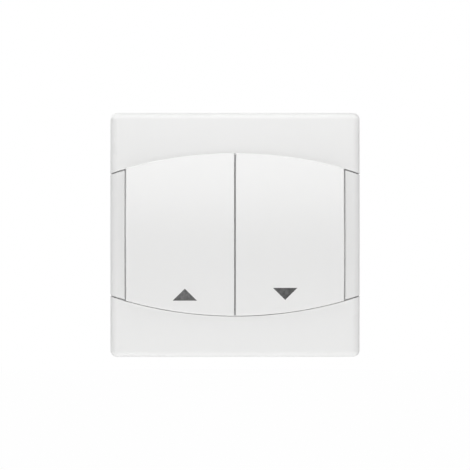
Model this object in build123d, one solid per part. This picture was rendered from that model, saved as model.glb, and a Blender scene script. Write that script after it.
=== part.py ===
from build123d import *
from math import cos, radians, sin, sqrt
import os

# Flush roller shutter switch with two arched keys, in millimetres.
# X runs to the right, Z up and Y into the wall. The wall's face is the plane Y = 0 and the front faces -Y.
# The origin is the centre of the fixing screw slots.

# Cover plate
plate_width = 80.0
plate_height = 78.4
plate_projection = 9.0
plate_crown_drop = 0.8
plate_round = 2.2
plate_inner_round = 0.6
plate_wall = 1.8
collar_wall = 1.2
collar_depth = 4.4

# Arches that bound the keys and the trims
band_height = 13.1
arch_radius = 128.0
arch_gap = 0.2

# Side trims
trim_width = 4.7
trim_thickness = 1.5
trim_slot = 0.45
trim_side_depth = 6.6
trim_edge_break = 0.25
rail_wall = 1.6
trim_leg_width = 6.0
trim_leg_thickness = 1.0
trim_leg_spacing = 24.0
trim_barb = 0.4
trim_barb_lead = 0.25
trim_leg_clearance = 0.15
trim_leg_tip = 1.5

# Keys
key_gap = 0.3
key_side_gap = 0.3
key_wall = 1.6
key_skirt_wall = 1.4
key_skirt_edge = 6.4
key_end_projection = 9.3
key_crown_radius = 187.0
key_edge_round = 0.42
key_lip_overlap = 0.1
key_lip_rear = 8.85
key_tilt = 5.0
key_rib_thickness = 1.0
key_rib_offset = 8.0
key_rib_end_gap = 0.5
key_clip_width = 7.0
key_clip_thickness = 1.4
key_clip_barb = 0.7
key_clip_barb_height = 1.0
key_clip_clearance = 0.1

# Arrow fields
arrow_width = 7.8
arrow_height = 3.85
arrow_offset = 16.05
arrow_up_rise = 5.1
arrow_down_rise = 5.35
arrow_depth = 0.4

# Rocking cradles under the keys
pivot_front = 7.0
gang_pitch = 20.2
centre_ear_width = 3.2
outer_ear_width = 2.2
cradle_side_clearance = 0.5
cradle_half_length = 13.0
cradle_front = 8.8
cradle_rear = 5.4
cradle_wall = 1.4
cradle_corner_radius = 1.0
cradle_web = 1.2
cradle_web_setback = 0.5
trunnion_radius = 1.3
trunnion_clearance = 0.06
trunnion_end_gap = 0.45
trunnion_setback = 0.2
ear_radius = 2.4
ear_mouth = 2.0
ear_clearance = 0.6
ear_notch_side = 0.5
ear_notch_front = 0.25
post_radius = 3.2
post_end = 0.5
plunger_radius = 2.02
plunger_clearance = 0.08
plunger_shoulder = 3.6
plunger_spigot_radius = 1.1
plunger_travel = 0.6
plunger_stop_clearance = 0.1

# Springs
spring_end_gap = 0.06
spring_wire_sides = 6
plunger_spring_wire = 0.4
plunger_spring_radius = 1.6
plunger_spring_turns = 4.5
return_spring_wire = 0.45
return_spring_radius = 2.0
return_spring_turns = 4.5
return_spring_place = -8.5
spring_stud_radius = 1.4
spring_stud_length = 1.0

# Bearing frame on the front of the steel support frame
bearing_size = 44.0
bearing_corner_radius = 4.0
bearing_plate = 1.6
bearing_skirt_wall = 1.4
window_half_width = 4.0
window_low = -4.4
window_high = 5.4
stop_width = 2.4
stop_offset = 6.0
stop_length = 1.4
stop_clearance = 0.06
stop_limit_clearance = 0.15

# Steel support frame
frame_side_gap = 4.5
frame_end_gap = 3.7
frame_corner_radius = 5.0
frame_sheet = 1.2
frame_opening_width = 40.4
frame_opening_height = 26.4
frame_opening_radius = 2.0
frame_fit_clearance = 0.15
fixing_inset = 5.5
fixing_slot_radius = 2.0
fixing_slot_length = 8.0
frame_rim = 2.4
lug_width = 8.0
lug_place_x = 20.0
lug_inset = 5.5
lug_height = 4.8
lug_window_width = 5.0
lug_window_height = 1.7
lug_window_sill = 1.5
lug_corner_radius = 1.2
lug_relief = 0.3
hook_thickness = 1.6
hook_width = 6.6
hook_clearance = 0.25
hook_barb = 0.9
hook_barb_height = 1.2
hook_barb_seat = 0.2
hook_barb_lead = 0.15
hook_barb_flat = 0.4
hook_barb_side_gap = 0.4
hook_tip_chamfer = 0.5
hook_gusset_width = 1.6
hook_gusset_depth = 2.4
hook_gusset_thickness = 1.0
hook_end_gap = 0.4

# Switch base behind the support frame
base_width = 42.0
base_height = 44.0
base_depth = 20.0
base_corner_radius = 4.0
base_wall = 1.6
base_edge_break = 0.6
chamber_half_height = 13.0
pocket_clearance = 0.1
strip_pass_clearance = 0.3
rest_shelf_thickness = 2.0
rib_between_pockets = 1.6
wire_hole_radius = 2.1
wire_funnel = 0.7
driver_hole_radius = 2.5
housing_screw_x = 17.4
housing_screw_z = 17.6
housing_screw_radius = 1.35
housing_screw_length = 12.0
housing_screw_head_radius = 2.5
housing_screw_head_height = 1.4
housing_screw_clearance = 0.2
housing_screw_head_taper = 0.8
housing_screw_recess = 1.55
pilot_extra = 0.5
screw_slot_width = 0.7
screw_slot_depth = 0.7
core_width = 4.6
core_depth = 9.0

# Contact levers
lever_pivot_depth = 8.6
lever_tilt = 6.0
lever_half_length = 9.3
lever_width = 4.4
lever_near = 0.2
lever_thickness = 1.0
lever_groove_radius = 0.65
lever_ear_gap = 0.2
lever_ear_thickness = 0.8
lever_ear_half_length = 1.6
lever_ear_depth = 2.0
lever_corner_radius = 1.2
lever_ear_round = 0.9
plunger_tip_gap = 0.2
tip_place = 7.5
tip_radius = 1.5
tip_thickness = 0.8
tip_edge_break = 0.2
contact_gap = 0.12
knife_flat = 0.04

# Contact strips and terminals
strip_width = 4.4
strip_thickness = 1.0
strip_bend = 0.9
strip_tab_overlap = 2.0
bar_riser_gap = 1.2
pad_overhang = 0.75
terminal_width = 6.4
terminal_inner = 14.6
terminal_outer = 20.2
terminal_front = 9.0
wire_radius = 1.6
wire_place = 17.2
terminal_screw_radius = 1.5
terminal_screw_clearance = 0.01
terminal_screw_depth = 13.5
terminal_screw_head_radius = 2.2
terminal_screw_head_height = 1.3
terminal_edge_break = 0.4

# Places worked out from the sizes above
arch_apex = plate_height / 2 - band_height
trim_inner = plate_width / 2 - trim_width
key_outer = trim_inner - key_side_gap
key_inner = key_gap / 2
key_mid_projection = key_end_projection + key_crown_radius - sqrt(key_crown_radius**2 - arch_apex**2)
cradle_width = gang_pitch - centre_ear_width - 2 * cradle_side_clearance
cradle_inner = centre_ear_width / 2 + cradle_side_clearance
ear_outer_start = cradle_inner + cradle_width + cradle_side_clearance
ear_front = pivot_front + ear_radius
bearing_front = frame_sheet + bearing_plate
frame_width = plate_width - 2 * frame_side_gap
frame_height = plate_height - 2 * frame_end_gap
fixing_x = frame_width / 2 - fixing_inset
fixing_z = frame_height / 2 - fixing_inset
lug_place_z = frame_height / 2 - lug_inset
lever_front = lever_near + lever_thickness
chamber_floor = base_depth - base_wall
strip_level = chamber_floor - strip_thickness / 2
strip_pass_half = strip_width / 2 + strip_pass_clearance
plunger_bore_length = cradle_front - cradle_wall - plunger_shoulder
plunger_spigot_length = plunger_bore_length - plunger_travel - plunger_stop_clearance

# The lever pivot lies midway between the plunger's places at rest and with the key pressed.
plunger_centre = lever_pivot_depth - (lever_front + plunger_radius + plunger_tip_gap)
plunger_reach = pivot_front + plunger_centre
lever_pivot_height = plunger_reach * sin(radians(key_tilt)) / 2

# Depth and height of a closed lever tip's face, and of the fixed tip's face that it meets.
closed_tip_depth = tip_place * sin(radians(lever_tilt))
closed_tip_depth += (tip_thickness - lever_near) * cos(radians(lever_tilt))
fixed_tip_face = lever_pivot_depth + closed_tip_depth + tip_radius * sin(radians(lever_tilt)) + contact_gap
fixed_tip_reach = tip_place * cos(radians(lever_tilt))
pad_level = fixed_tip_face + tip_thickness + strip_thickness / 2
make_height = lever_pivot_height + fixed_tip_reach
rest_height = lever_pivot_height - fixed_tip_reach


def block(x0, x1, y0, y1, z0, z1):
    """A box between two corners."""
    return Pos((x0 + x1) / 2, (y0 + y1) / 2, (z0 + z1) / 2) * Box(abs(x1 - x0), abs(y1 - y0), abs(z1 - z0))


def wall_plane(y):
    """A plane parallel to the wall at depth y, with its normal pointing out of the wall."""
    return Plane(origin=(0, y, 0), x_dir=(1, 0, 0), z_dir=(0, -1, 0))


def outward(face, y_rear, y_front):
    """Extrude a face drawn in X and Z from depth y_rear to depth y_front, towards the viewer."""
    return extrude(wall_plane(y_rear) * face, amount=y_rear - y_front)


def rod(axis, centre, radius, length):
    """A round bar along an axis, centred on a point."""
    turn = {"x": Rotation(0, 90, 0), "y": Rotation(90, 0, 0), "z": Rotation(0, 0, 0)}[axis]
    return Pos(*centre) * turn * Cylinder(radius, length)


def arched_face(x0, x1, apex, lap=0.0):
    """The area between two uprights and the upper and lower arches, the upper one raised by a lap."""
    upper = Pos(0, apex + lap - arch_radius) * Circle(arch_radius)
    lower = Pos(0, arch_radius - apex) * Circle(arch_radius)
    return upper & lower & Pos((x0 + x1) / 2, 0) * Rectangle(x1 - x0, 2 * (apex + lap) + 1)


def crowned_slab(half_width, projection, half_height, drop, rear=0.0):
    """A slab whose front is a gentle arc about a horizontal axis, lower by drop at its ends."""
    end = drop - projection
    front = ThreePointArc((end, -half_height), (-projection, 0), (end, half_height))
    lines = [
        front,
        Line(front @ 1, (-rear, half_height)),
        Line((-rear, half_height), (-rear, -half_height)),
        Line((-rear, -half_height), front @ 0),
    ]
    side = Plane(origin=(-half_width, 0, 0), x_dir=(0, 1, 0), z_dir=(1, 0, 0)) * make_face(lines)
    return extrude(side, amount=2 * half_width)


def plate_envelope(inset, rear=0.0):
    """The cover plate's outer form, moved inwards by inset on every side but the wall's."""
    half_width = plate_width / 2 - inset
    half_height = plate_height / 2 - inset
    slab = crowned_slab(half_width, plate_projection - inset, half_height, plate_crown_drop, rear)
    edges = slab.faces().sort_by(Axis.Y)[0].edges() + slab.edges().filter_by(Axis.Y)
    return fillet(edges, max(plate_round - inset, plate_inner_round))


def both_sides(shape):
    """A shape and its mirror image across the centre line."""
    return shape + mirror(shape, Plane.YZ)


def top_and_bottom(shape):
    """A shape and its mirror image across the middle height."""
    return shape + mirror(shape, Plane.XY)


def four_corners(shape):
    """A shape in one quadrant, repeated in all four."""
    return top_and_bottom(both_sides(shape))


def bent_strip(points, width, plane):
    """A bent strip of contact metal: its middle line as points in a plane, rounded at the bends."""
    path = FilletPolyline(*points, radius=strip_bend) if len(points) > 2 else Line(*points)
    path = plane * path
    section = Plane(origin=path @ 0, x_dir=plane.z_dir, z_dir=path % 0) * Rectangle(width, strip_thickness)
    return sweep(section, path)


def side_view(x):
    """A plane at a given x whose first axis is height Z and whose second is depth Y."""
    return Plane(origin=(x, 0, 0), x_dir=(0, 0, 1), z_dir=(-1, 0, 0))


def lever_axis(gang):
    """The middle of a gang, -1 on the left and 1 on the right."""
    return gang * gang_pitch / 2


# Cover plate and trims

def trim_leg_places():
    """Heights of the two legs of a trim."""
    return [-trim_leg_spacing / 2, trim_leg_spacing / 2]


def side_rails():
    """The lowered rails behind the trims: an angle with a front flange and an outer wall."""
    rails = plate_envelope(trim_thickness) - plate_envelope(trim_thickness + rail_wall)
    zone = arched_face(trim_inner, plate_width / 2, arch_apex + collar_wall / 2)
    zone = outward(zone, 0, -plate_projection - 1)
    rails = rails & both_sides(zone)
    for z in trim_leg_places():
        half_z = trim_leg_width / 2 + trim_leg_clearance
        x1 = trim_inner + trim_leg_thickness + trim_leg_clearance
        notch = block(trim_inner - 1, x1, -plate_projection, -2, z - half_z, z + half_z)
        rails -= both_sides(notch)
    return rails


def opening_collar():
    """The wall that runs back from each arch, behind the front skin."""
    half_width = plate_width / 2 - plate_wall / 2
    outer = arched_face(-half_width, half_width, arch_apex + collar_wall)
    inner = arched_face(-half_width - 1, half_width + 1, arch_apex)
    return outward(outer - inner, -collar_depth, -plate_projection + plate_crown_drop)


def plate_hook():
    """One snap leg behind a band, whose barb drops into the window of a lug."""
    z0 = lug_place_z + frame_sheet / 2 + hook_clearance
    x0 = lug_place_x - hook_width / 2
    x1 = lug_place_x + hook_width / 2
    root = -(plate_projection - plate_wall)
    tip = -(frame_sheet + hook_end_gap)
    leg = block(x0, x1, root, tip, z0, z0 + hook_thickness)
    lead_in = leg.edges().filter_by(Axis.X).group_by(Axis.Y)[-1].sort_by(Axis.Z)[0]
    leg = chamfer(lead_in, hook_tip_chamfer)
    window_top = -(frame_sheet + lug_window_sill + lug_window_height)
    barb_y0 = window_top + hook_barb_seat
    barb_y1 = barb_y0 + hook_barb_lead
    barb_x = lug_window_width / 2 - hook_barb_side_gap
    barb_profile = Polyline(
        (z0, barb_y0),
        (z0 - hook_barb, barb_y1),
        (z0 - hook_barb, barb_y1 + hook_barb_flat),
        (z0, barb_y0 + hook_barb_height),
        close=True,
    )
    barb = extrude(side_view(lug_place_x + barb_x) * make_face(barb_profile), amount=2 * barb_x)
    gusset_profile = Polyline(
        (z0 + hook_thickness, root),
        (z0 + hook_thickness + hook_gusset_width, root),
        (z0 + hook_thickness, root + hook_gusset_depth),
        close=True,
    )
    gusset_plane = side_view(lug_place_x + hook_gusset_thickness / 2)
    gusset = extrude(gusset_plane * make_face(gusset_profile), amount=hook_gusset_thickness)
    return leg + barb + gusset


def cover_plate():
    skin = plate_envelope(0) - plate_envelope(plate_wall)
    half_width = plate_width / 2 + 1
    rear_rim = plate_projection - trim_side_depth - trim_slot
    skin -= outward(arched_face(-half_width, half_width, arch_apex), -rear_rim, -plate_projection - 1)
    inside = plate_envelope(plate_wall / 2, rear=-1)
    extras = side_rails() + opening_collar() + four_corners(plate_hook())
    return skin + (extras & inside)


def side_trim(side):
    shell = plate_envelope(0) - plate_envelope(trim_thickness)
    zone = arched_face(trim_inner, plate_width / 2 + 1, arch_apex - trim_slot)
    trim = shell & outward(zone, -(plate_projection - trim_side_depth), -plate_projection - 1)
    front_edges = trim.edges().filter_by(Axis.Z, tolerance=3).group_by(Axis.Y)[0].sort_by(Axis.X)[0:1]
    trim = fillet(front_edges, trim_edge_break)
    rail_front = -(plate_projection - trim_thickness)
    rail_rear = rail_front + rail_wall
    x1 = trim_inner + trim_leg_thickness
    for z in trim_leg_places():
        z0 = z - trim_leg_width / 2
        z1 = z + trim_leg_width / 2
        leg = block(trim_inner, x1, rail_front - 0.3, rail_rear + trim_leg_tip, z0, z1)
        barb_profile = Polyline(
            (x1, rail_rear + trim_leg_clearance),
            (x1 + trim_barb, rail_rear + trim_leg_clearance + trim_barb_lead),
            (x1, rail_rear + trim_leg_tip - trim_leg_clearance),
            close=True,
        )
        barb = extrude(Plane(origin=(0, 0, z0)) * make_face(barb_profile), amount=trim_leg_width)
        trim += leg + barb
    return trim if side > 0 else mirror(trim, Plane.YZ)


# Keys and arrows

def key_block(side, inset, rear, back=0.0, lap=0.0):
    """A key's outer form, moved in by inset at its edges and back by back at its front."""
    x0 = key_inner + inset
    x1 = key_outer - inset
    outline = arched_face(x0, x1, arch_apex - arch_gap - inset, lap)
    outline = outward(outline, -rear, -key_mid_projection - 1)
    centre_y = -key_mid_projection + key_crown_radius
    crown = rod("x", ((x0 + x1) / 2, centre_y, 0), key_crown_radius - back, 2 * plate_width)
    shape = outline & crown
    return shape if side > 0 else mirror(shape, Plane.YZ)


def lip_rebate():
    """The room behind the rim that a key's upper end laps over the band."""
    beyond = arched_face(-trim_inner, trim_inner, arch_apex, arch_gap)
    beyond -= arched_face(-trim_inner - 1, trim_inner + 1, arch_apex - arch_gap)
    upper_half = block(-plate_width, plate_width, 0, -plate_width, 0, plate_height)
    return outward(beyond, 0, -key_lip_rear) & upper_half


def arrow_prism(side):
    """The triangle of an arrow, pointing up on the left key and down on the right one."""
    x = side * arrow_offset
    low = (arrow_up_rise if side < 0 else arrow_down_rise) - arch_apex
    high = low + arrow_height
    base, apex = (low, high) if side < 0 else (high, low)
    corners = [(x - arrow_width / 2, base), (x + arrow_width / 2, base), (x, apex)]
    return outward(make_face(Polyline(*corners, close=True)), 0, -key_mid_projection - 1)


def arrow_pocket(side):
    """The part of an arrow's prism in front of the pocket's floor."""
    return arrow_prism(side) - key_block(side, 0, 0, back=arrow_depth)


def arrow_field(side):
    return key_block(side, 0, 0) & arrow_pocket(side)


def key_shell():
    """The right key without its arrow."""
    shell = key_block(1, 0, key_skirt_edge, lap=arch_gap + key_lip_overlap)
    front = shell.faces().sort_by(Axis.Y)[0].edges()
    shell = fillet(front, key_edge_round) - lip_rebate()
    shell -= key_block(1, key_skirt_wall, key_skirt_edge - 1, back=key_wall)
    inside = key_block(1, key_skirt_wall / 2, 0, back=key_wall / 2)
    # Ribs across the back that sit on the cradle
    for z in (-key_rib_offset, key_rib_offset):
        x0 = key_inner + key_rib_end_gap
        x1 = key_outer - key_rib_end_gap
        z0 = z - key_rib_thickness / 2
        z1 = z + key_rib_thickness / 2
        rib = block(x0, x1, -cradle_front, -key_mid_projection, z0, z1)
        shell += rib & inside
    # Clip legs that hook under the cradle's two ends
    for end in (-1, 1):
        shell += clip_leg(end) & inside
    # Room for the bearing ears
    ear_room = ear_radius + ear_clearance
    notch_half = centre_ear_width / 2 + ear_notch_side
    notch = block(-notch_half, notch_half, -ear_front - ear_notch_front, 0, -ear_room, ear_room)
    return shell - notch


def key_cover(side):
    shell = key_shell()
    if side < 0:
        shell = mirror(shell, Plane.YZ)
    return shell - arrow_pocket(side)


def clip_leg(end):
    """A leg of the key past one end of the cradle, with a barb behind the cradle's end wall."""
    x0 = lever_axis(1) - key_clip_width / 2
    x1 = x0 + key_clip_width
    z0 = cradle_half_length + key_clip_clearance
    z1 = z0 + key_clip_thickness
    seat = -cradle_rear + key_clip_clearance
    tip = -cradle_rear + key_clip_barb_height
    leg = block(x0, x1, tip, -key_mid_projection, z0, z1)
    profile = Polyline((z0, seat), (z0 - key_clip_barb, seat), (z0, tip), close=True)
    barb = extrude(side_view(x1) * make_face(profile), amount=key_clip_width)
    clip = leg + barb
    return clip if end > 0 else mirror(clip, Plane.XY)


# Cradles, plungers and springs

def cradle(side):
    x0 = cradle_inner
    x1 = cradle_inner + cradle_width
    x = lever_axis(1)
    length = 2 * cradle_half_length
    outline = Pos(x, 0) * RectangleRounded(cradle_width, length, cradle_corner_radius)
    inner = Pos(x, 0) * Rectangle(cradle_width - 2 * cradle_wall, length - 2 * cradle_wall)
    tray = outward(outline, -cradle_rear, -cradle_front)
    tray -= outward(inner, -cradle_rear, -cradle_front + cradle_wall)
    middle_y = (-cradle_front + post_end) / 2
    tray += rod("y", (x, middle_y, 0), post_radius, cradle_front + post_end)
    bore_front = -cradle_front + cradle_wall
    bore_length = post_end - bore_front
    bore_radius = plunger_radius + plunger_clearance
    tray -= rod("y", (x, (post_end + bore_front) / 2, 0), bore_radius, bore_length)
    # Webs from the post to the side walls
    web_front = -cradle_front + cradle_web_setback
    web_inner = x - (post_radius + plunger_radius) / 2
    web = block(x0 + cradle_wall / 2, web_inner, -cradle_rear, web_front, -cradle_web / 2, cradle_web / 2)
    tray += web + mirror(web, Plane(origin=(x, 0, 0), z_dir=(1, 0, 0)))
    # Stud that keeps the return spring in place
    stud_y = bore_front + spring_stud_length / 2
    tray += rod("y", (x, stud_y, return_spring_place), spring_stud_radius, spring_stud_length)
    # Trunnions
    reach_in = x0 - trunnion_end_gap
    tray += rod("x", (trunnion_end_gap + reach_in / 2, -pivot_front, 0), trunnion_radius, reach_in)
    reach_out = cradle_side_clearance + outer_ear_width - trunnion_setback
    tray += rod("x", (x1 + reach_out / 2, -pivot_front, 0), trunnion_radius, reach_out)
    return tray if side > 0 else mirror(tray, Plane.YZ)


def plunger(side):
    x = lever_axis(side)
    shank = plunger_centre + plunger_shoulder
    body = rod("y", (x, -plunger_shoulder + shank / 2, 0), plunger_radius, shank)
    body += Pos(x, plunger_centre, 0) * Sphere(plunger_radius)
    spigot_y = -plunger_shoulder - plunger_spigot_length / 2
    spigot = rod("y", (x, spigot_y, 0), plunger_spigot_radius, plunger_spigot_length)
    return body + spigot


def coil_spring(x, z, y0, y1, wire, radius, turns):
    """A compression spring along Y between two seats, wound with even turns."""
    start = y0 + wire / 2 + spring_end_gap
    height = y1 - y0 - wire - 2 * spring_end_gap
    coil = Helix(pitch=height / turns, height=height, radius=radius)
    profile = Plane(origin=coil @ 0, z_dir=coil % 0) * RegularPolygon(wire / 2, spring_wire_sides)
    spring = sweep(profile, coil, is_frenet=True)
    return Pos(x, start, z) * Rotation(-90, 0, 0) * spring


def plunger_spring(side):
    place = (lever_axis(side), 0)
    seats = (cradle_wall - cradle_front, -plunger_shoulder)
    return coil_spring(*place, *seats, plunger_spring_wire, plunger_spring_radius, plunger_spring_turns)


def return_spring(side):
    place = (lever_axis(side), return_spring_place)
    seats = (cradle_wall - cradle_front, -bearing_front)
    return coil_spring(*place, *seats, return_spring_wire, return_spring_radius, return_spring_turns)


# Bearing frame

def ear(x0, x1):
    """A bearing ear with a hole for the trunnions and a mouth that they snap in through."""
    length = x1 - x0
    x = (x0 + x1) / 2
    foot = block(x0, x1, -pivot_front, -bearing_front + 0.2, -ear_radius, ear_radius)
    body = foot + rod("x", (x, -pivot_front, 0), ear_radius, length)
    body -= rod("x", (x, -pivot_front, 0), trunnion_radius + trunnion_clearance, length + 1)
    body -= block(x0 - 1, x1 + 1, -ear_front - 1, -pivot_front, -ear_mouth / 2, ear_mouth / 2)
    return body


def stop_height(z):
    """Depth that the cradle's rear edge reaches at a place below the pivot with the key pressed."""
    angle = radians(key_tilt)
    return -pivot_front + (pivot_front - cradle_rear) * cos(angle) - z * sin(angle)


def bearing_frame():
    outline = RectangleRounded(bearing_size, bearing_size, bearing_corner_radius)
    plate = outward(outline, -frame_sheet, -bearing_front)
    skirt_width = frame_opening_width - 2 * frame_fit_clearance
    skirt_height = frame_opening_height - 2 * frame_fit_clearance
    skirt = RectangleRounded(skirt_width, skirt_height, frame_opening_radius)
    skirt -= Rectangle(skirt_width - 2 * bearing_skirt_wall, skirt_height - 2 * bearing_skirt_wall)
    plate += outward(skirt, 0, -frame_sheet - 0.2)
    for side in (-1, 1):
        x = lever_axis(side)
        window = (x - window_half_width, x + window_half_width)
        plate -= block(*window, -bearing_front - 1, 1, window_low, window_high)
        stud_y = -bearing_front - spring_stud_length / 2
        plate += rod("y", (x, stud_y, return_spring_place), spring_stud_radius, spring_stud_length)
        outer = cradle_half_length - cradle_wall / 2 + stop_length / 2
        rest_stop = -cradle_rear + stop_clearance
        limit_stop = stop_height(-outer) + stop_limit_clearance
        for offset in (-stop_offset, stop_offset):
            x0 = x + offset - stop_width / 2
            x1 = x0 + stop_width
            plate += block(x0, x1, rest_stop, -bearing_front + 0.2, outer - stop_length, outer)
            plate += block(x0, x1, limit_stop, -bearing_front + 0.2, -outer, stop_length - outer)
    plate += ear(-centre_ear_width / 2, centre_ear_width / 2)
    outer_ear = ear(ear_outer_start, ear_outer_start + outer_ear_width)
    plate += both_sides(outer_ear)
    hole_radius = housing_screw_radius + housing_screw_clearance
    hole = rod("y", (housing_screw_x, 0, housing_screw_z), hole_radius, 4 * bearing_front)
    return plate - four_corners(hole)


# Support frame

def fixing_slot():
    """A long slot for a box screw, about the origin."""
    return outward(SlotOverall(fixing_slot_length, 2 * fixing_slot_radius), 1, -frame_sheet - 1)


def frame_lug():
    """A lug bent forward out of the sheet, with the window for a snap hook, and the hole it leaves."""
    x0 = lug_place_x - lug_width / 2
    x1 = lug_place_x + lug_width / 2
    z0 = lug_place_z - frame_sheet / 2
    z1 = lug_place_z + frame_sheet / 2
    lug = block(x0, x1, -(frame_sheet + lug_height), 0, z0, z1)
    lug = fillet(lug.edges().filter_by(Axis.Z).group_by(Axis.Y)[0], lug_corner_radius)
    window_y = -(frame_sheet + lug_window_sill)
    window_x0 = lug_place_x - lug_window_width / 2
    window_x1 = lug_place_x + lug_window_width / 2
    lug -= block(window_x0, window_x1, window_y - lug_window_height, window_y, z0 - 1, z1 + 1)
    hole = block(x0 - lug_relief, x1 + lug_relief, -frame_sheet - 1, 1, z0 - lug_height, z0)
    return lug, hole


def support_frame():
    sheet = RectangleRounded(frame_width, frame_height, frame_corner_radius)
    sheet -= RectangleRounded(frame_opening_width, frame_opening_height, frame_opening_radius)
    frame = outward(sheet, 0, -frame_sheet)
    # Rims folded forward along the two sides
    rim_half = frame_height / 2 - frame_corner_radius
    rim = block(frame_width / 2 - frame_sheet, frame_width / 2, -frame_rim, 0, -rim_half, rim_half)
    frame += both_sides(rim)
    # Long slots that point to the centre
    frame -= both_sides(Pos(fixing_x, 0, 0) * fixing_slot())
    frame -= top_and_bottom(Pos(0, 0, fixing_z) * Rotation(0, 90, 0) * fixing_slot())
    hole_radius = housing_screw_radius + housing_screw_clearance
    frame -= four_corners(rod("y", (housing_screw_x, 0, housing_screw_z), hole_radius, 4 * bearing_front))
    lug, hole = frame_lug()
    frame -= four_corners(hole)
    return frame + four_corners(lug)


# Switch base

def terminal_places():
    """Gang and end of each terminal: line bottom left, up top left, down top right."""
    return {"line": (-1, -1), "up": (-1, 1), "down": (1, 1)}


def switch_base():
    outline = RectangleRounded(base_width, base_height, base_corner_radius)
    base = outward(outline, base_depth, 0)
    base = chamfer(base.faces().sort_by(Axis.Y)[-1].edges(), base_edge_break)
    chamber_outer = base_width / 2 - base_wall
    half_web = base_wall / 2
    half_height = chamber_half_height
    pocket_half = terminal_width / 2 + pocket_clearance
    for gang in (-1, 1):
        x = lever_axis(gang)
        base -= block(gang * half_web, gang * chamber_outer, -1, chamber_floor, -half_height, half_height)
        for end in (-1, 1):
            # Terminal pocket and the passage of the strip into it
            z_in = end * (terminal_inner - pocket_clearance)
            z_out = end * (terminal_outer + pocket_clearance)
            base -= block(x - pocket_half, x + pocket_half, -1, chamber_floor, z_in, z_out)
            z_pass = end * (half_height - 1)
            base -= block(x - strip_pass_half, x + strip_pass_half, -1, chamber_floor, z_pass, z_in)
    # Empty pockets between the terminals keep the walls even
    middle_half = gang_pitch / 2 - pocket_half - rib_between_pockets
    z_in = chamber_half_height + rib_between_pockets
    z_out = base_height / 2 - base_wall
    base -= top_and_bottom(block(-middle_half, middle_half, -1, chamber_floor, z_in, z_out))
    # Passage of the interlock bar through the middle web
    z0 = rest_height - strip_pass_half
    z1 = rest_height + strip_pass_half
    base -= block(-1, 1, pad_level, chamber_floor, z0, z1)
    # Wire entries at the back and driver holes above and below
    for gang, end in terminal_places().values():
        x = lever_axis(gang)
        z = end * wire_place
        base -= rod("y", (x, base_depth, z), wire_hole_radius, 4 * base_wall)
        funnel = Cone(wire_hole_radius, wire_hole_radius + wire_funnel, wire_funnel)
        base -= Pos(x, base_depth - wire_funnel / 2, z) * Rotation(-90, 0, 0) * funnel
        hole_z = end * (terminal_outer + base_height / 2) / 2
        base -= rod("z", (x, terminal_screw_depth, hole_z), driver_hole_radius, base_wall + 2)
    # Pilot holes for the housing screws, and cores behind them
    pilot_depth = housing_screw_length - bearing_front + pilot_extra
    pilot = rod("y", (housing_screw_x, 0, housing_screw_z), housing_screw_radius, 2 * pilot_depth)
    base -= four_corners(pilot)
    core = Box(core_width, 2 * core_depth, core_width)
    base -= four_corners(Pos(housing_screw_x, base_depth, housing_screw_z) * core)
    # Moulded rest under the lower end of the right lever, which has no rest contact
    x = lever_axis(1)
    shelf = block(
        x - tip_radius,
        chamber_outer + 0.2,
        fixed_tip_face,
        fixed_tip_face + rest_shelf_thickness,
        rest_height - tip_radius,
        rest_height + tip_radius,
    )
    return base + shelf


def housing_screw():
    front = -bearing_front
    head_y = front - housing_screw_head_height / 2
    head_top_radius = housing_screw_head_radius - housing_screw_head_taper
    cone = Cone(housing_screw_head_radius, head_top_radius, housing_screw_head_height)
    head = Pos(0, head_y, 0) * Rotation(90, 0, 0) * cone
    shank = rod("y", (0, front + housing_screw_length / 2, 0), housing_screw_radius, housing_screw_length)
    slot_half = screw_slot_width / 2
    top = front - housing_screw_head_height
    span = housing_screw_recess
    slot = block(-span, span, top - 1, top + screw_slot_depth, -slot_half, slot_half)
    cross = block(-slot_half, slot_half, top - 1, top + screw_slot_depth, -span, span)
    return head + shank - slot - cross


def housing_screws():
    places = [(sx * housing_screw_x, 0, sz * housing_screw_z) for sx in (-1, 1) for sz in (-1, 1)]
    return [Pos(*place) * housing_screw() for place in places]


# Contact levers and strips

def tilted(shape, gang, tilt):
    """A shape drawn about a lever's pivot at the origin, tilted and put in its place."""
    return Pos(lever_axis(gang), lever_pivot_depth, lever_pivot_height) * Rotation(tilt, 0, 0) * shape


def contact_lever(gang):
    half = lever_width / 2
    strip = block(-half, half, -lever_front, -lever_near, -lever_half_length, lever_half_length)
    strip = fillet(strip.edges().filter_by(Axis.Y), lever_corner_radius)
    ear_out = half + lever_ear_gap + lever_ear_thickness
    length = lever_ear_half_length
    bridge = block(-ear_out, ear_out, -lever_front, -lever_near, -length, length)
    ear_in = ear_out - lever_ear_thickness
    ear_plate = block(ear_in, ear_out, -lever_front, lever_ear_depth, -length, length)
    ear_plate = fillet(ear_plate.edges().filter_by(Axis.X).group_by(Axis.Y)[-1], lever_ear_round)
    lever = strip + bridge + both_sides(ear_plate)
    lever -= rod("x", (0, 0, 0), lever_groove_radius, 2 * ear_in)
    return tilted(lever, gang, lever_tilt)


def tip_disc(y0, y1, z):
    """A silver rivet head."""
    return rod("y", (0, (y0 + y1) / 2, z), tip_radius, y1 - y0)


def lever_tips(gang):
    discs = []
    for z in (-tip_place, tip_place):
        disc = tip_disc(-lever_near, -lever_near + tip_thickness, z)
        disc = chamfer(disc.edges().group_by(Axis.Y)[-1], tip_edge_break)
        discs.append(tilted(disc, gang, lever_tilt))
    return discs


def fixed_tips():
    discs = []
    for gang, z in ((-1, make_height), (1, make_height), (-1, rest_height)):
        disc = tip_disc(fixed_tip_face, fixed_tip_face + tip_thickness, z)
        disc = chamfer(disc.edges().group_by(Axis.Y)[0], tip_edge_break)
        discs.append(Pos(lever_axis(gang), 0, 0) * disc)
    return discs


def knife_edge(strip):
    """Round the free end of a strip that carries a lever."""
    ends = strip.edges().filter_by(Axis.X).group_by(Axis.Y)[0]
    return fillet(ends, (strip_thickness - knife_flat) / 2)


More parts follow.
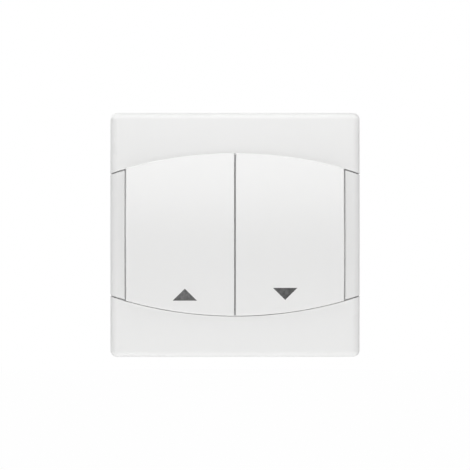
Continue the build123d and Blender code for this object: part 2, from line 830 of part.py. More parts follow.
def knife_end():
    """Depth of the knife edge's crest, so that its round is centred on the lever's pivot."""
    return lever_pivot_depth - strip_thickness / 2


def line_strip():
    x = lever_axis(-1)
    tab_z = -(terminal_inner - strip_thickness / 2)
    points = [
        (lever_pivot_height, knife_end()),
        (lever_pivot_height, strip_level),
        (tab_z, strip_level),
        (tab_z, terminal_front + strip_tab_overlap),
    ]
    return knife_edge(bent_strip(points, strip_width, side_view(x)))


def make_strip(gang):
    x = lever_axis(gang)
    tab_z = terminal_inner - strip_thickness / 2
    riser_z = make_height + tip_radius + pad_overhang + strip_thickness / 2
    points = [
        (make_height - tip_radius - pad_overhang, pad_level),
        (riser_z, pad_level),
        (riser_z, strip_level),
        (tab_z, strip_level),
        (tab_z, terminal_front + strip_tab_overlap),
    ]
    return bent_strip(points, strip_width, side_view(x))


def interlock_bar():
    left = lever_axis(-1)
    right = lever_axis(1)
    riser_x = left + strip_width / 2 + bar_riser_gap
    flat = Plane(origin=(0, 0, rest_height), x_dir=(1, 0, 0), z_dir=(0, 0, 1))
    points = [
        (left - strip_width / 2, pad_level),
        (riser_x, pad_level),
        (riser_x, strip_level),
        (right + strip_width / 2, strip_level),
    ]
    across = bent_strip(points, strip_width, flat)
    points = [
        (rest_height - strip_width / 2, strip_level),
        (lever_pivot_height, strip_level),
        (lever_pivot_height, knife_end()),
    ]
    up = knife_edge(bent_strip(points, strip_width, side_view(right)))
    return across + up


def terminal(name):
    gang, end = terminal_places()[name]
    half = terminal_width / 2
    body = block(-half, half, terminal_front, chamber_floor, terminal_inner, terminal_outer)
    body = chamfer(body.edges().filter_by(Axis.Y), terminal_edge_break)
    body -= rod("y", (0, chamber_floor, wire_place), wire_radius, 4 * chamber_floor)
    thread_length = 2 * (terminal_outer - wire_place)
    body -= rod("z", (0, terminal_screw_depth, terminal_outer), terminal_screw_radius, thread_length)
    body = Pos(lever_axis(gang), 0, 0) * body
    return body if end > 0 else mirror(body, Plane.XY)


def terminal_screws():
    screws = []
    tip = wire_place + wire_radius
    top = terminal_outer + terminal_screw_head_height
    for gang, end in terminal_places().values():
        shank_z = (terminal_outer + tip) / 2
        shank_radius = terminal_screw_radius - terminal_screw_clearance
        shank = rod("z", (0, 0, shank_z), shank_radius, terminal_outer - tip)
        head_z = (terminal_outer + top) / 2
        head = rod("z", (0, 0, head_z), terminal_screw_head_radius, terminal_screw_head_height)
        half = screw_slot_width / 2
        reach = terminal_screw_head_radius + 1
        slot = block(-half, half, -reach, reach, top - screw_slot_depth, top + 1)
        screw = Pos(lever_axis(gang), terminal_screw_depth, 0) * (head + shank - slot)
        screws.append(screw if end > 0 else mirror(screw, Plane.XY))
    return screws


def gangs(name, maker):
    """The left piece, for up, and the right piece, for down."""
    return {f"{name}_up": maker(-1), f"{name}_down": maker(1)}


def parts():
    pieces = {"cover_plate": cover_plate()}
    pieces["side_trim_left"] = side_trim(-1)
    pieces["side_trim_right"] = side_trim(1)
    pieces.update(gangs("key", key_cover))
    pieces.update(gangs("arrow", arrow_field))
    pieces.update(gangs("cradle", cradle))
    pieces.update(gangs("plunger", plunger))
    pieces.update(gangs("plunger_spring", plunger_spring))
    pieces.update(gangs("return_spring", return_spring))
    pieces["bearing_frame"] = bearing_frame()
    pieces["support_frame"] = support_frame()
    pieces["switch_base"] = switch_base()
    pieces["housing_screws"] = housing_screws()
    pieces.update(gangs("contact_lever", contact_lever))
    pieces.update(gangs("lever_tips", lever_tips))
    pieces["fixed_tips"] = fixed_tips()
    pieces["line_strip"] = line_strip()
    pieces["up_strip"] = make_strip(-1)
    pieces["down_strip"] = make_strip(1)
    pieces["interlock_bar"] = interlock_bar()
    for name in terminal_places():
        pieces[f"{name}_terminal"] = terminal(name)
    pieces["terminal_screws"] = terminal_screws()
    return pieces


def write(pieces):
    os.makedirs("parts", exist_ok=True)
    for name, piece in pieces.items():
        solids = piece if isinstance(piece, list) else [piece]
        group = Compound(children=[s for shape in solids for s in shape.solids()])
        export_step(group, f"parts/{name}.step")


write(parts())
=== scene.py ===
import math

import bmesh
import bpy
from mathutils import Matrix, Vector


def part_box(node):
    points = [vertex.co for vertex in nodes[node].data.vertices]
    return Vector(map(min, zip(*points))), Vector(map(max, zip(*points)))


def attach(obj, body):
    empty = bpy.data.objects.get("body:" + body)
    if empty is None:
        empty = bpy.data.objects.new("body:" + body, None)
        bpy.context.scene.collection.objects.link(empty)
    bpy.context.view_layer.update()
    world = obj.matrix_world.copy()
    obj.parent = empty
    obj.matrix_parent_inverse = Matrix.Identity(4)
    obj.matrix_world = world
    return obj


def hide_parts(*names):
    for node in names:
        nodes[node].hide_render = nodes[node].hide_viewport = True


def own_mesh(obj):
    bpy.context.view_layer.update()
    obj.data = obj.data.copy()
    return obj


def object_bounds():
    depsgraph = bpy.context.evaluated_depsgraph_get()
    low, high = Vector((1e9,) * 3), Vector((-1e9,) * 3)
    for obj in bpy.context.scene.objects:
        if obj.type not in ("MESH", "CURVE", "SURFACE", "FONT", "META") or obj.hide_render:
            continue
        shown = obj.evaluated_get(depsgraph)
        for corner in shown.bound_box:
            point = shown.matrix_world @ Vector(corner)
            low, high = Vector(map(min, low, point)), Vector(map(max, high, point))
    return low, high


bl_info = {
    "name": "Roller shutter switch",
    "version": (1, 0, 0),
    "blender": (4, 5, 0),
    "location": "View3D > Sidebar > Shutter Switch",
    "description": "Finishes, springs and studio for a flush roller shutter switch with two arched keys",
    "category": "Object",
}

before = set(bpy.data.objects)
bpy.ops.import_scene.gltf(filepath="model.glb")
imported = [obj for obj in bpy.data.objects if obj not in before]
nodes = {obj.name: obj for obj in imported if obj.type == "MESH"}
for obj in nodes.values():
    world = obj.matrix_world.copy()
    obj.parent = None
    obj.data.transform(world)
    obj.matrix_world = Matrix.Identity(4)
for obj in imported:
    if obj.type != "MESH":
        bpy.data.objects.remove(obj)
cad_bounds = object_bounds()


# Sizes and colours

PLAIN_WHITE = (1.0, 1.0, 1.0, 1.0)


def colour_property(name, description, default):
    return bpy.props.FloatVectorProperty(
        name=name, description=description, default=default, size=3, subtype="COLOR", min=0.0, max=1.0
    )


def length_property(name, description, default):
    return bpy.props.FloatProperty(
        name=name, description=description, default=default, min=0.0, unit="LENGTH", precision=5
    )


def power_property(name, description, default):
    return bpy.props.FloatProperty(
        name=name, description=description, default=default, min=0.0, unit="POWER"
    )


def turns_property(name, description, default, least, most):
    return bpy.props.FloatProperty(
        name=name, description=description, default=default, min=least, max=most
    )


class FinishSettings(bpy.types.PropertyGroup):
    """Colours and surface detail of the pieces"""

    white: colour_property("Front white", "Colour of cover plate, trims and keys", (0.83, 0.83, 0.825))
    arrow: colour_property("Arrow grey", "Colour of the two arrow fields", (0.12, 0.12, 0.12))
    cradle: colour_property("Cradle grey", "Colour of the two rocking cradles", (0.62, 0.62, 0.6))
    plunger: colour_property("Plunger cream", "Colour of the two plungers", (0.72, 0.7, 0.63))
    bearing: colour_property("Bearing grey", "Colour of the bearing frame", (0.66, 0.66, 0.64))
    base: colour_property("Base grey", "Colour of the switch base", (0.033, 0.036, 0.04))
    zinc: colour_property("Zinc", "Colour of the support frame", (0.62, 0.63, 0.65))
    spring_steel: colour_property("Spring steel", "Colour of the spring wire", (0.56, 0.56, 0.57))
    plated_steel: colour_property("Plated steel", "Colour of the screws", (0.6, 0.61, 0.62))
    copper: colour_property("Copper", "Colour of the levers and strips", (0.83, 0.42, 0.24))
    silver: colour_property("Silver", "Colour of the contact tips", (0.86, 0.85, 0.82))
    brass: colour_property("Brass", "Colour of the terminals", (0.8, 0.6, 0.3))
    grain_size: length_property("Grain size", "Size of the fine grain on moulded plastic", 0.00035)
    grain_depth: length_property("Grain depth", "Depth of the fine grain on moulded plastic", 0.000004)
    edge_reach: length_property("Edge reach", "How far below its top the plate leans back softly", 0.004)
    edge_drop: length_property("Edge drop", "How far it leans back there", 0.0016)


class SpringSettings(bpy.types.PropertyGroup):
    """Wire and turns of the springs"""

    plunger_wire: length_property("Plunger spring wire", "Thickness of the wire", 0.0004)
    return_wire: length_property("Return spring wire", "Thickness of the wire", 0.00045)
    turns: turns_property("Turns", "Turns of wire in each spring", 4.5, 2.5, 12.0)
    closed_turns: turns_property("Closed turns", "Turns at each end that lie wire on wire", 0.7, 0.0, 1.0)
    opening_turns: turns_property("Opening turns", "Turns over which the wire opens out", 0.35, 0.05, 1.0)


class ScrewSettings(bpy.types.PropertyGroup):
    """Sizes of the screws and their threads"""

    housing_pitch: length_property("Housing pitch", "Pitch of the housing screws' thread", 0.0011)
    clamp_pitch: length_property("Clamp pitch", "Pitch of the terminal screws' thread", 0.0005)
    housing_depth: length_property("Housing depth", "Depth of the housing screws' thread", 0.00022)
    clamp_depth: length_property("Clamp depth", "Depth of the terminal screws' thread", 0.00011)
    head_height: length_property("Head height", "From a screw's top to where its thread begins", 0.0016)
    housing_run_in: length_property(
        "Housing run-in", "From a housing screw's top to where its thread is at full depth", 0.0024
    )
    clamp_run_in: length_property(
        "Clamp run-in", "From a terminal screw's top to where its thread is at full depth", 0.0022
    )
    housing_head_radius: length_property("Head radius", "Radius of the housing screws' heads", 0.0025)


class StudioSettings(bpy.types.PropertyGroup):
    """Camera, floor and lamps"""

    distance: length_property("Camera distance", "From the camera to the plane that it frames", 0.75)
    framed_plane: length_property("Framed plane", "From the wall to the plane that it frames", 0.007)
    view_width: length_property("View width", "Width that the camera sees at that plane", 0.15088)
    floor_drop: length_property("Floor drop", "From the lowest edge down to the floor", 0.35)
    floor_radius: length_property("Floor radius", "Radius of the round floor", 6.0)
    front_power: power_property("Front softbox", "Power of the large lamp above the camera", 5.2)
    above_power: power_property("Strip above", "Power of the strip just above the plate", 0.4)
    below_power: power_property("Strip below", "Power of the strip just below the plate", 0.285)
    behind_power: power_property("Softbox behind", "Power of the lamp behind the wall plane", 2.5)


# Shader maths


class Value:
    """A number that varies over a surface, with Python's arithmetic."""

    def __init__(self, surface, socket):
        self.surface = surface
        self.socket = socket

    def maths(self, operation, *operands, **settings):
        settings["operation"] = operation
        return self.surface.add("ShaderNodeMath", settings, dict(enumerate(operands)))

    def __add__(self, other):
        return self.maths("ADD", self, other)

    def __sub__(self, other):
        return self.maths("SUBTRACT", self, other)

    def __mul__(self, other):
        return self.maths("MULTIPLY", self, other)

    def __truediv__(self, other):
        return self.maths("DIVIDE", self, other)

    def __radd__(self, other):
        return self.maths("ADD", other, self)

    def __rsub__(self, other):
        return self.maths("SUBTRACT", other, self)

    def __rmul__(self, other):
        return self.maths("MULTIPLY", other, self)

    def clamped(self):
        return self.maths("ADD", self, 0.0, use_clamp=True)

    def single(self, operation):
        """One of the operations that take a single value."""
        return self.maths(operation, self)


class Surface:
    """The node tree of one material or of the world."""

    def __init__(self, owner):
        owner.use_nodes = True
        self.tree = owner.node_tree
        self.tree.nodes.clear()

    def add(self, kind, settings=None, inputs=None, output=0):
        """A node of a kind: its settings are made first, then the values or links of its sockets."""
        node = self.tree.nodes.new(kind)
        for name, setting in (settings or {}).items():
            setattr(node, name, setting)
        for key, entry in (inputs or {}).items():
            socket = self.pick(node.inputs, key)
            if isinstance(entry, Value):
                self.tree.links.new(entry.socket, socket)
            else:
                socket.default_value = entry
        if not node.outputs:
            return node
        return Value(self, self.pick(node.outputs, output))

    @staticmethod
    def pick(sockets, key):
        if isinstance(key, int):
            return sockets[key]
        return next(s for s in sockets if key in (s.identifier, s.name) and s.enabled)

    def place(self):
        """Position on the piece, in metres."""
        return self.add("ShaderNodeTexCoord", output="Object")

    def stretched(self, place, scale):
        """A position scaled apart along the three axes."""
        return self.add("ShaderNodeVectorMath", {"operation": "MULTIPLY"}, {0: place, 1: scale})

    def noise(self, place, size, detail=2.0, roughness=0.5):
        """Even noise from 0 to 1, with features of about a size in metres."""
        sockets = {"Vector": place, "Scale": 1.0 / size, "Detail": detail, "Roughness": roughness}
        return self.add("ShaderNodeTexNoise", {}, sockets)

    def cells(self, place, size):
        """Crystal-like cells of about a size in metres, each with its own grey."""
        colour = self.add("ShaderNodeTexVoronoi", {}, {"Vector": place, "Scale": 1.0 / size}, "Color")
        return self.add("ShaderNodeRGBToBW", {}, {0: colour})

    def part(self, place, axis):
        """One of the three parts of a position or a direction."""
        return self.add("ShaderNodeSeparateXYZ", {}, {0: place}, axis)

    def between(self, factor, first, second):
        """A colour between two colours."""
        sockets = {"Factor_Float": factor, "A_Color": (*first, 1.0), "B_Color": (*second, 1.0)}
        return self.add("ShaderNodeMix", {"data_type": "RGBA"}, sockets, "Result_Color")

    def contrast(self, value, low, high):
        """A value stretched so that low gives 0 and high gives 1."""
        return self.add("ShaderNodeMapRange", {}, {"Value": value, "From Min": low, "From Max": high})

    def bump(self, height, depth, under=None):
        """A normal from a height between 0 and 1, with a depth in metres. It can lie on another normal."""
        sockets = {"Height": height, "Distance": depth, "Strength": 1.0}
        if under is not None:
            sockets["Normal"] = under
        return self.add("ShaderNodeBump", {}, sockets, "Normal")

    def soft_top(self, place, top, reach, depth):
        """A normal that leans over softly towards the upper edge."""
        height = self.part(place, "Z")
        return self.bump(1.0 - ((height - top) / reach).single("EXPONENT"), depth)

    def thread(self, place, along, pitch, centre, start, depth):
        """A normal with the turns of a screw thread along an axis, from a start onwards.

        The screws stand mirrored about the middle planes, so one centre does for all of them.
        """
        spokes = []
        for axis, middle in zip("XYZ".replace(along, ""), centre):
            spokes.append(self.part(place, axis).single("ABSOLUTE") - middle)
        turn = spokes[0].maths("ARCTAN2", *spokes) / (2 * math.pi)
        distance = self.part(place, along)
        if along == "Z":
            distance = distance.single("ABSOLUTE")
        turns = distance / pitch + turn
        ridge = turns.maths("PINGPONG", turns, 0.5) * 2.0
        return self.bump(ridge * self.contrast(distance, *start), depth)

    def finish(self, sockets):
        """The shader and the output, with the given sockets."""
        shader = self.add("ShaderNodeBsdfPrincipled", {}, sockets, "BSDF")
        self.add("ShaderNodeOutputMaterial", {}, {"Surface": shader})


def shade(colour, factor):
    return tuple(min(1.0, c * factor) for c in colour)


# Finishes


def new_finish(name):
    material = bpy.data.materials.new(name)
    return material, Surface(material)


def moulded(name, colour, roughness, grain_size, grain_depth, mottle, soft_top=None):
    """Moulded plastic: a fine eroded grain, a faint flow of the melt and handling marks in the gloss."""
    material, s = new_finish(name)
    place = s.place()
    under = s.soft_top(place, *soft_top) if soft_top else None
    grain = s.noise(place, grain_size, detail=3.0, roughness=0.6)
    melt = s.noise(s.stretched(place, (1.0, 1.0, 0.45)), 0.011, detail=3.0)
    marks = s.contrast(s.noise(place, 0.004, detail=4.0, roughness=0.65), 0.42, 0.72)
    tone = (0.5 + (melt - 0.5) * 0.24 + (grain - 0.5) * mottle * 6).clamped()
    s.finish(
        {
            "Base Color": s.between(tone, shade(colour, 1 - mottle), shade(colour, 1 + mottle)),
            "Roughness": roughness + (melt - 0.5) * 0.08 + marks * 0.035,
            "Normal": s.bump(grain, grain_depth, under),
        }
    )
    return material


def filled_plastic(name, colour, roughness):
    """Glass-filled plastic: short pale fibres that lie in the flow, and a dull uneven skin."""
    material, s = new_finish(name)
    place = s.place()
    fibres = s.noise(s.stretched(place, (1.0, 1.0, 0.2)), 0.00016, detail=2.0)
    flow = s.noise(s.stretched(place, (0.5, 1.0, 1.0)), 0.0065, detail=4.0, roughness=0.6)
    specks = s.contrast(fibres, 0.6, 0.74)
    tone = (flow * 0.7 + specks * 0.4).clamped()
    s.finish(
        {
            "Base Color": s.between(tone, shade(colour, 0.82), shade(colour, 1.5)),
            "Roughness": roughness + flow * 0.14 - specks * 0.1,
            "Normal": s.bump(fibres * 0.5 + flow * 0.5, 0.00002),
        }
    )
    return material


def spangled_zinc(name, colour):
    """Galvanised sheet: crystals a few millimetres wide, each with its own gloss, and rolling lines."""
    material, s = new_finish(name)
    place = s.place()
    wander = s.noise(place, 0.002, detail=2.0)
    crystals = s.cells(s.stretched(place, (1.0, 1.0, 0.8)), 0.0034)
    small = s.cells(place, 0.0011)
    lines = s.noise(s.stretched(place, (0.03, 1.0, 1.0)), 0.0001, detail=2.0)
    bloom = s.contrast(s.noise(place, 0.009, detail=4.0), 0.5, 0.75)
    tone = (crystals * 0.65 + small * 0.2 + wander * 0.15 - bloom * 0.25).clamped()
    s.finish(
        {
            "Base Color": s.between(tone, shade(colour, 0.8), shade(colour, 1.12)),
            "Metallic": 1.0,
            "Roughness": 0.3 + crystals * 0.14 + bloom * 0.2,
            "Normal": s.bump(lines * 0.5 + small * 0.5, 0.000004),
        }
    )
    return material


def turned_metal(name, colour, tarnish, tarnish_share, roughness, line_size, lines_along, thread=None):
    """Cut or drawn metal: fine tool lines and a thin uneven tarnish."""
    material, s = new_finish(name)
    place = s.place()
    under = s.thread(place, *thread) if thread else None
    lines = s.noise(s.stretched(place, lines_along), line_size, detail=2.0)
    film = s.contrast(s.noise(place, 0.0018, detail=4.0, roughness=0.62), 0.48, 0.78)
    wear = s.noise(place, 0.0006, detail=3.0)
    tone = (film * tarnish_share + wear * 0.2).clamped()
    s.finish(
        {
            "Base Color": s.between(tone, shade(colour, 1.04), tarnish),
            "Metallic": 1.0,
            "Roughness": roughness + film * 0.16 + (lines - 0.5) * 0.1,
            "Normal": s.bump(lines, 0.000005, under),
        }
    )
    return material


def foil_grey(name, colour):
    """Hot-stamped grey foil: a metallic grey that is cloudy and a little uneven."""
    material, s = new_finish(name)
    place = s.place()
    cloud = s.contrast(s.noise(place, 0.0011, detail=2.0, roughness=0.6), 0.3, 0.7)
    dots = s.contrast(s.noise(place, 0.00025, detail=1.0), 0.35, 0.65)
    streak = s.noise(s.stretched(place, (0.25, 1.0, 1.0)), 0.0008, detail=1.0)
    tone = (cloud * 0.6 + dots * 0.2 + streak * 0.2).clamped()
    s.finish(
        {
            "Base Color": s.between(tone, shade(colour, 0.45), shade(colour, 1.75)),
            "Metallic": 0.35,
            "Roughness": 0.42 + dots * 0.12,
            "Normal": s.bump(dots, 0.000006),
        }
    )
    return material


def dress(material, *names):
    """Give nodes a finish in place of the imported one."""
    for name in names:
        mesh = nodes[name].data
        mesh.materials.clear()
        mesh.materials.append(material)


def both(name):
    return f"{name}_up", f"{name}_down"


# Springs

STEPS_PER_TURN = 32
POINTS_ROUND_WIRE = 14


def skin(mesh, rings):
    """A closed skin over rings of equally many points."""
    for near, far in zip(rings, rings[1:]):
        for i in range(len(near)):
            j = (i + 1) % len(near)
            mesh.faces.new((near[i], near[j], far[j], far[i]))
    mesh.faces.new(list(reversed(rings[0])))
    mesh.faces.new(rings[-1])


def coil_rises(height, wire, coil, steps):
    """Height of the wire at each step of a compression spring whose end turns lie wire on wire."""
    weights = []
    for step in range(steps):
        turn = coil.turns * (step + 0.5) / steps
        past_closed = min(turn, coil.turns - turn) - coil.closed_turns
        open_share = min(1.0, max(0.0, past_closed / coil.opening_turns))
        weights.append(open_share * open_share * (3 - 2 * open_share))
    closed_rise = wire * coil.turns
    spare = (height - closed_rise) / sum(weights)
    rises = [0.0]
    for weight in weights:
        rises.append(rises[-1] + closed_rise / steps + weight * spare)
    return rises


def coil_spring(low, high, wire, coil):
    """A compression spring along Y that fills the box between two corners."""
    mesh = bmesh.new()
    middle = (low + high) / 2
    radius = (high.x - low.x - wire) / 2
    steps = int(coil.turns * STEPS_PER_TURN)
    rises = coil_rises(high.y - low.y - wire, wire, coil, steps)
    rings = []
    for step, rise in enumerate(rises):
        angle = 2 * math.pi * coil.turns * step / steps
        spoke = Vector((math.cos(angle), 0.0, -math.sin(angle)))
        centre = Vector((middle.x, low.y + wire / 2 + rise, middle.z)) + spoke * radius
        points = []
        for i in range(POINTS_ROUND_WIRE):
            around = 2 * math.pi * i / POINTS_ROUND_WIRE
            offset = spoke * math.cos(around) + Vector((0.0, math.sin(around), 0.0))
            points.append(mesh.verts.new(centre + offset * wire / 2))
        rings.append(points)
    skin(mesh, rings)
    return mesh


def new_piece(name, mesh, material):
    """A smooth object from a finished bmesh, sharp where its faces meet at more than 35 degrees."""
    bmesh.ops.recalc_face_normals(mesh, faces=mesh.faces[:])
    data = bpy.data.meshes.new(name)
    mesh.to_mesh(data)
    mesh.free()
    for polygon in data.polygons:
        polygon.use_smooth = True
    data.set_sharp_from_angle(angle=math.radians(35.0))
    data.materials.append(material)
    piece = bpy.data.objects.new(name, data)
    bpy.context.scene.collection.objects.link(piece)
    return piece


# Operators


class PieceOperator:
    """What the operators share: each stops with an error if its pieces aren't there."""

    bl_options = {"REGISTER", "UNDO"}

    def need(self, *names):
        missing = [name for name in names if name not in nodes]
        if missing:
            raise RuntimeError(f"the packed model has no {', '.join(missing)}")


class SHUTTER_OT_front(PieceOperator, bpy.types.Operator):
    """Finish the cover plate and the side trims in satin white and the keys in gloss white"""

    bl_idname = "shutter.front"
    bl_label = "Cover plate, trims and keys"

    def execute(self, context):
        look = context.scene.shutter_finish
        names = ("cover_plate", "side_trim_left", "side_trim_right", *both("key"))
        self.need(*names)
        white = tuple(look.white)
        grain = look.grain_size, look.grain_depth
        soft_top = cad_bounds[1][2], look.edge_reach, look.edge_drop
        plate = moulded("satin_white_plate", white, 0.5, *grain, 0.006, soft_top)
        trim = moulded("satin_white_trim", shade(white, 0.975), 0.52, *grain, 0.008)
        key = moulded("gloss_white_key", white, 0.3, look.grain_size, look.grain_depth / 2, 0.005)
        dress(plate, "cover_plate")
        dress(trim, "side_trim_left", "side_trim_right")
        dress(key, *both("key"))
        return {"FINISHED"}


class SHUTTER_OT_arrows(PieceOperator, bpy.types.Operator):
    """Finish the two arrow fields in grey foil"""

    bl_idname = "shutter.arrows"
    bl_label = "Arrows"

    def execute(self, context):
        self.need(*both("arrow"))
        grey = tuple(context.scene.shutter_finish.arrow)
        # The two arrows share one grey foil. The down arrow's copy is painted darker than the up arrow's,
        # which is painted shade on that side and not a different print.
        dress(foil_grey("grey_foil_up", shade(grey, 0.92)), "arrow_up")
        dress(foil_grey("grey_foil_down_painted_shade", shade(grey, 0.64)), "arrow_down")
        return {"FINISHED"}


class SHUTTER_OT_rockers(PieceOperator, bpy.types.Operator):
    """Finish the cradles, plungers and the bearing frame that the keys rock on"""

    bl_idname = "shutter.rockers"
    bl_label = "Cradles, plungers and bearing frame"

    def execute(self, context):
        self.need(*both("cradle"), *both("plunger"), "bearing_frame")
        look = context.scene.shutter_finish
        grain = look.grain_size, look.grain_depth
        cradle = moulded("cradle_plastic", tuple(look.cradle), 0.5, *grain, 0.02)
        plunger = moulded("slippery_plunger_plastic", tuple(look.plunger), 0.32, *grain, 0.03)
        bearing = moulded("bearing_frame_plastic", tuple(look.bearing), 0.48, *grain, 0.02)
        dress(cradle, *both("cradle"))
        dress(plunger, *both("plunger"))
        dress(bearing, "bearing_frame")
        return {"FINISHED"}


class SHUTTER_OT_springs(PieceOperator, bpy.types.Operator):
    """Wind the four springs in drawn steel wire, each carried along with the key or the housing that holds
    it
    """

    bl_idname = "shutter.springs"
    bl_label = "Springs"

    def execute(self, context):
        self.need(*both("plunger_spring"), *both("return_spring"))
        sizes = context.scene.shutter_springs
        steel = tuple(context.scene.shutter_finish.spring_steel)
        wire = turned_metal(
            "drawn_spring_steel",
            steel,
            tarnish=(0.3, 0.28, 0.27),
            tarnish_share=0.5,
            roughness=0.24,
            line_size=0.00006,
            lines_along=(1.0, 0.3, 1.0),
        )
        for gang in ("up", "down"):
            node = f"plunger_spring_{gang}"
            spring = self.wind(node, sizes.plunger_wire, sizes, wire)
            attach(spring, f"{gang}_key")
            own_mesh(spring)
            node = f"return_spring_{gang}"
            spring = self.wind(node, sizes.return_wire, sizes, wire)
            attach(spring, "housing")
            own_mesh(spring)
        return {"FINISHED"}

    def wind(self, node, thickness, sizes, material):
        mesh = coil_spring(*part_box(node), thickness, sizes)
        spring = new_piece(f"wound_{node}", mesh, material)
        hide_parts(node)
        return spring


class SHUTTER_OT_support(PieceOperator, bpy.types.Operator):
    """Finish the support frame in spangled zinc"""

    bl_idname = "shutter.support"
    bl_label = "Support frame"

    def execute(self, context):
        self.need("support_frame")
        zinc = tuple(context.scene.shutter_finish.zinc)
        dress(spangled_zinc("spangled_zinc_sheet", zinc), "support_frame")
        return {"FINISHED"}


class SHUTTER_OT_base(PieceOperator, bpy.types.Operator):
    """Finish the switch base in dark glass-filled plastic"""

    bl_idname = "shutter.base"
    bl_label = "Switch base"

    def execute(self, context):
        self.need("switch_base")
        grey = tuple(context.scene.shutter_finish.base)
        dress(filled_plastic("dark_filled_plastic", grey, 0.46), "switch_base")
        return {"FINISHED"}


class SHUTTER_OT_contacts(PieceOperator, bpy.types.Operator):
    """Finish the levers, strips, tips and terminals"""

    bl_idname = "shutter.contacts"
    bl_label = "Contacts and terminals"

    def execute(self, context):
        copper = (*both("contact_lever"), "line_strip", "up_strip", "down_strip", "interlock_bar")
        silver = (*both("lever_tips"), "fixed_tips")
        brass = ("line_terminal", "up_terminal", "down_terminal")
        self.need(*copper, *silver, *brass)
        look = context.scene.shutter_finish
        rolled = turned_metal(
            "rolled_contact_copper",
            tuple(look.copper),
            tarnish=(0.42, 0.2, 0.12),
            tarnish_share=0.6,
            roughness=0.28,
            line_size=0.00008,
            lines_along=(1.0, 1.0, 0.05),
        )
        rivet = turned_metal(
            "silver_contact_tip",
            tuple(look.silver),
            tarnish=(0.45, 0.42, 0.38),
            tarnish_share=0.45,
            roughness=0.22,
            line_size=0.00007,
            lines_along=(1.0, 1.0, 1.0),
        )
        milled = turned_metal(
            "milled_terminal_brass",
            tuple(look.brass),
            tarnish=(0.45, 0.32, 0.16),
            tarnish_share=0.5,
            roughness=0.26,
            line_size=0.00009,
            lines_along=(1.0, 0.05, 1.0),
        )
        dress(rolled, *copper)
        dress(rivet, *silver)
        dress(milled, *brass)
        return {"FINISHED"}


class SHUTTER_OT_screws(PieceOperator, bpy.types.Operator):
    """Finish the housing screws and the clamp screws in plated steel, with their threads"""

    bl_idname = "shutter.screws"
    bl_label = "Screws"

    def execute(self, context):
        self.need("housing_screws", "terminal_screws")
        sizes = context.scene.shutter_screws
        steel = tuple(context.scene.shutter_finish.plated_steel)
        low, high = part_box("housing_screws")
        centre = high.x - sizes.housing_head_radius, high.z - sizes.housing_head_radius
        start = low.y + sizes.head_height, low.y + sizes.housing_run_in
        thread = "Y", sizes.housing_pitch, centre, start, sizes.housing_depth
        dress(self.plated("housing_screws", steel, thread), "housing_screws")
        low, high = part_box("terminal_screws")
        centre = high.x - (high.y - low.y) / 2, (high.y + low.y) / 2
        start = high.z - sizes.head_height, high.z - sizes.clamp_run_in
        thread = "Z", sizes.clamp_pitch, centre, start, sizes.clamp_depth
        dress(self.plated("terminal_screws", steel, thread), "terminal_screws")
        return {"FINISHED"}

    def plated(self, name, steel, thread):
        return turned_metal(
            f"plated_{name}",
            steel,
            tarnish=(0.34, 0.33, 0.31),
            tarnish_share=0.45,
            roughness=0.27,
            line_size=0.00007,
            lines_along=(1.0, 0.2, 1.0),
            thread=thread,
        )


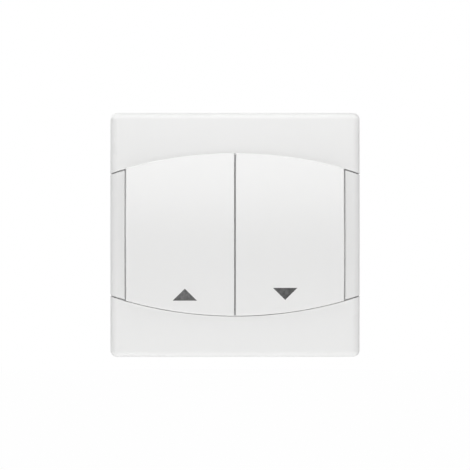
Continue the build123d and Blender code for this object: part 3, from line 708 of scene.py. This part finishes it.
class SHUTTER_OT_studio(PieceOperator, bpy.types.Operator):
    """Set the camera, the lamps, the floor and the pale surroundings"""

    bl_idname = "shutter.studio"
    bl_label = "Studio"

    def execute(self, context):
        scene = context.scene
        studio = scene.shutter_studio
        self.set_camera(scene, studio)
        self.set_floor(studio)
        self.set_surroundings(scene)
        self.set_lamps(scene, studio)
        scene.view_settings.view_transform = "Standard"
        return {"FINISHED"}

    def set_camera(self, scene, studio):
        data = bpy.data.cameras.new("camera")
        data.sensor_width = 36.0
        data.lens = data.sensor_width * studio.distance / studio.view_width
        data.clip_start = 0.01
        data.clip_end = 50.0
        camera = bpy.data.objects.new("camera", data)
        camera.location = (0.0, -studio.framed_plane - studio.distance, 0.0)
        camera.rotation_euler = (math.radians(90), 0.0, 0.0)
        scene.collection.objects.link(camera)
        scene.camera = camera

    def set_floor(self, studio):
        mesh = bmesh.new()
        bmesh.ops.create_circle(mesh, cap_ends=True, segments=96, radius=studio.floor_radius)
        height = cad_bounds[0][2] - studio.floor_drop
        bmesh.ops.translate(mesh, verts=mesh.verts[:], vec=(0.0, 0.0, height))
        material, s = new_finish("pale_floor")
        seen = s.add("ShaderNodeLightPath", output="Is Camera Ray")
        mirrored = s.add("ShaderNodeLightPath", output="Is Glossy Ray")
        through = s.add("ShaderNodeLightPath", output="Is Transmission Ray")
        speckle = s.noise(s.place(), 0.004, detail=3.0)
        pale = s.between(speckle, (0.9, 0.9, 0.9), (0.94, 0.94, 0.94))
        paint = s.add("ShaderNodeBsdfPrincipled", {}, {"Base Color": pale, "Roughness": 0.9}, "BSDF")
        glow = s.add("ShaderNodeEmission", {}, {"Color": PLAIN_WHITE, "Strength": 1.0}, "Emission")
        share = ((seen + mirrored + through) * 0.99).clamped()
        glowing_paint = s.add("ShaderNodeMixShader", {}, {0: share, 1: paint, 2: glow}, "Shader")
        s.add("ShaderNodeOutputMaterial", {}, {"Surface": glowing_paint})
        new_piece("floor", mesh, material)

    def set_surroundings(self, scene):
        world = bpy.data.worlds.new("surroundings")
        scene.world = world
        s = Surface(world)
        direction = s.add("ShaderNodeTexCoord", output="Generated")
        seen = s.add("ShaderNodeLightPath", output="Is Camera Ray")
        sides = s.contrast(s.part(direction, "X").single("ABSOLUTE"), 0.3, 0.95)
        behind = s.contrast(s.part(direction, "Y"), 0.0, 0.5)
        level = (0.05 + sides * 0.735) * (1.0 - behind * 0.3)
        strength = level + seen * (1.0 - level)
        glow = s.add("ShaderNodeBackground", {}, {"Color": PLAIN_WHITE, "Strength": strength}, "Background")
        s.add("ShaderNodeOutputWorld", {}, {"Surface": glow})

    def set_lamps(self, scene, studio):
        strip = 0.45, 0.14
        self.softbox(scene, "softbox_front", (-0.03, -1.097, 0.346), (0.8, 0.5), studio.front_power)
        self.softbox(scene, "strip_above", (0.0, -0.057, 0.212), strip, studio.above_power)
        self.softbox(scene, "strip_below", (0.0, -0.097, -0.197), strip, studio.below_power)
        self.softbox(scene, "softbox_behind", (-0.5, 0.8, 0.5), (0.6, 0.6), studio.behind_power)

    def softbox(self, scene, name, place, size, power):
        """A flat lamp of a width and a height that faces the origin."""
        data = bpy.data.lights.new(name, "AREA")
        data.shape = "RECTANGLE"
        data.size, data.size_y = size
        data.energy = power
        lamp = bpy.data.objects.new(name, data)
        lamp.location = place
        lamp.rotation_euler = (-Vector(place)).to_track_quat("-Z", "Y").to_euler()
        scene.collection.objects.link(lamp)


class SHUTTER_PT_panel(bpy.types.Panel):
    """The pieces of the switch and its studio"""

    bl_idname = "SHUTTER_PT_panel"
    bl_label = "Roller shutter switch"
    bl_space_type = "VIEW_3D"
    bl_region_type = "UI"
    bl_category = "Shutter Switch"

    def draw(self, context):
        layout = self.layout
        scene = context.scene
        groups = scene.shutter_finish, scene.shutter_springs, scene.shutter_screws, scene.shutter_studio
        for group in groups:
            box = layout.box()
            for name in group.bl_rna.properties.keys():
                if name not in ("rna_type", "name"):
                    box.prop(group, name)
        column = layout.column(align=True)
        for operator in OPERATORS:
            column.operator(operator.bl_idname)


OPERATORS = (
    SHUTTER_OT_front,
    SHUTTER_OT_arrows,
    SHUTTER_OT_rockers,
    SHUTTER_OT_springs,
    SHUTTER_OT_support,
    SHUTTER_OT_base,
    SHUTTER_OT_contacts,
    SHUTTER_OT_screws,
    SHUTTER_OT_studio,
)
GROUPS = (FinishSettings, SpringSettings, ScrewSettings, StudioSettings)


def register():
    for item in (*GROUPS, *OPERATORS, SHUTTER_PT_panel):
        bpy.utils.register_class(item)
    bpy.types.Scene.shutter_finish = bpy.props.PointerProperty(type=FinishSettings)
    bpy.types.Scene.shutter_springs = bpy.props.PointerProperty(type=SpringSettings)
    bpy.types.Scene.shutter_screws = bpy.props.PointerProperty(type=ScrewSettings)
    bpy.types.Scene.shutter_studio = bpy.props.PointerProperty(type=StudioSettings)


def unregister():
    del bpy.types.Scene.shutter_studio
    del bpy.types.Scene.shutter_screws
    del bpy.types.Scene.shutter_springs
    del bpy.types.Scene.shutter_finish
    for item in reversed((*GROUPS, *OPERATORS, SHUTTER_PT_panel)):
        bpy.utils.unregister_class(item)


def main():
    register()
    for operator in OPERATORS:
        group, name = operator.bl_idname.split(".")
        getattr(getattr(bpy.ops, group), name)()


if __name__ == "__main__":
    main()
